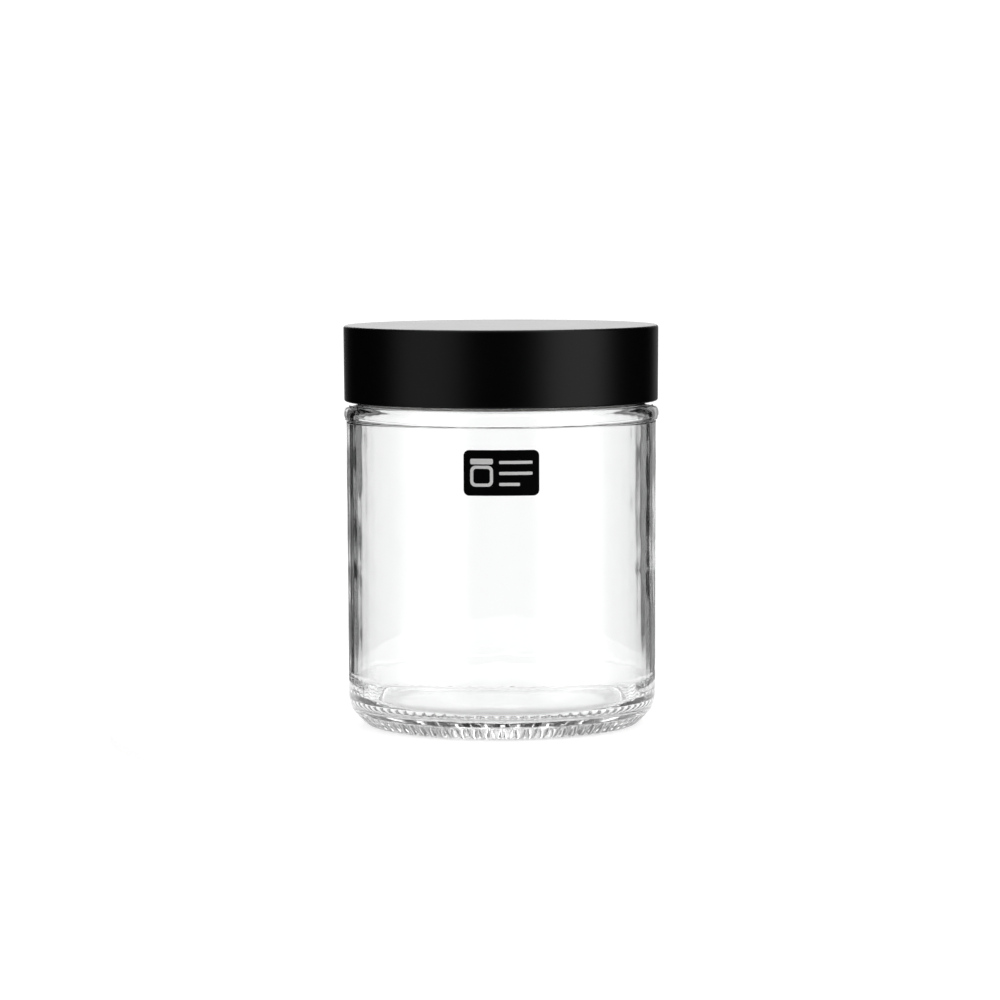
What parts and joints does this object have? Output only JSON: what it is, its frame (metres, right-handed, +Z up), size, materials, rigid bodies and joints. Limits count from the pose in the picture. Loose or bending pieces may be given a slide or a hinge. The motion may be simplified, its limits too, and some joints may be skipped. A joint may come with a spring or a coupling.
{
  "type": "screw-lid glass jar",
  "caption": "Straight-sided clear glass jar with a beaded shoulder, a ribbed foot, a small front label and a tall flat black screw lid.",
  "frame": {"origin": "centre of the ring that the jar stands on", "axes": "+Z up along the jar's axis, label facing -Y"},
  "size_m": [0.1002, 0.1002, 0.1267],
  "materials": {
    "clear_glass": "clear flint glass, fire-polished, with slight waviness inside",
    "label_film": null,
    "liner_foam": "off-white foam disc",
    "insert_plastic": "black moulded plastic",
    "lid_plastic": "satin black, very fine moulded grain"
  },
  "bodies": {
    "jar": {"glass_jar": "clear_glass", "front_label": "label_film"},
    "liner": {"sealing_liner": "liner_foam"},
    "lid": {"thread_insert": "insert_plastic", "lid_shell": "lid_plastic"}
  },
  "joints": [
    {"name": "lid_rise", "type": "slide", "parent": "jar", "child": "liner", "axis": [0, 0, 1], "range_m": [0, 0.03]},
    {"name": "lid_turn", "type": "hinge", "parent": "liner", "child": "lid", "pos_m": [0, 0, 0.1218], "axis": [0, 0, 1], "range_deg": [0, 900]}
  ],
  "couplings": [
    {"joint": "lid_rise", "follows": "lid_turn", "m_per_rad": 0.0019099}
  ]
}
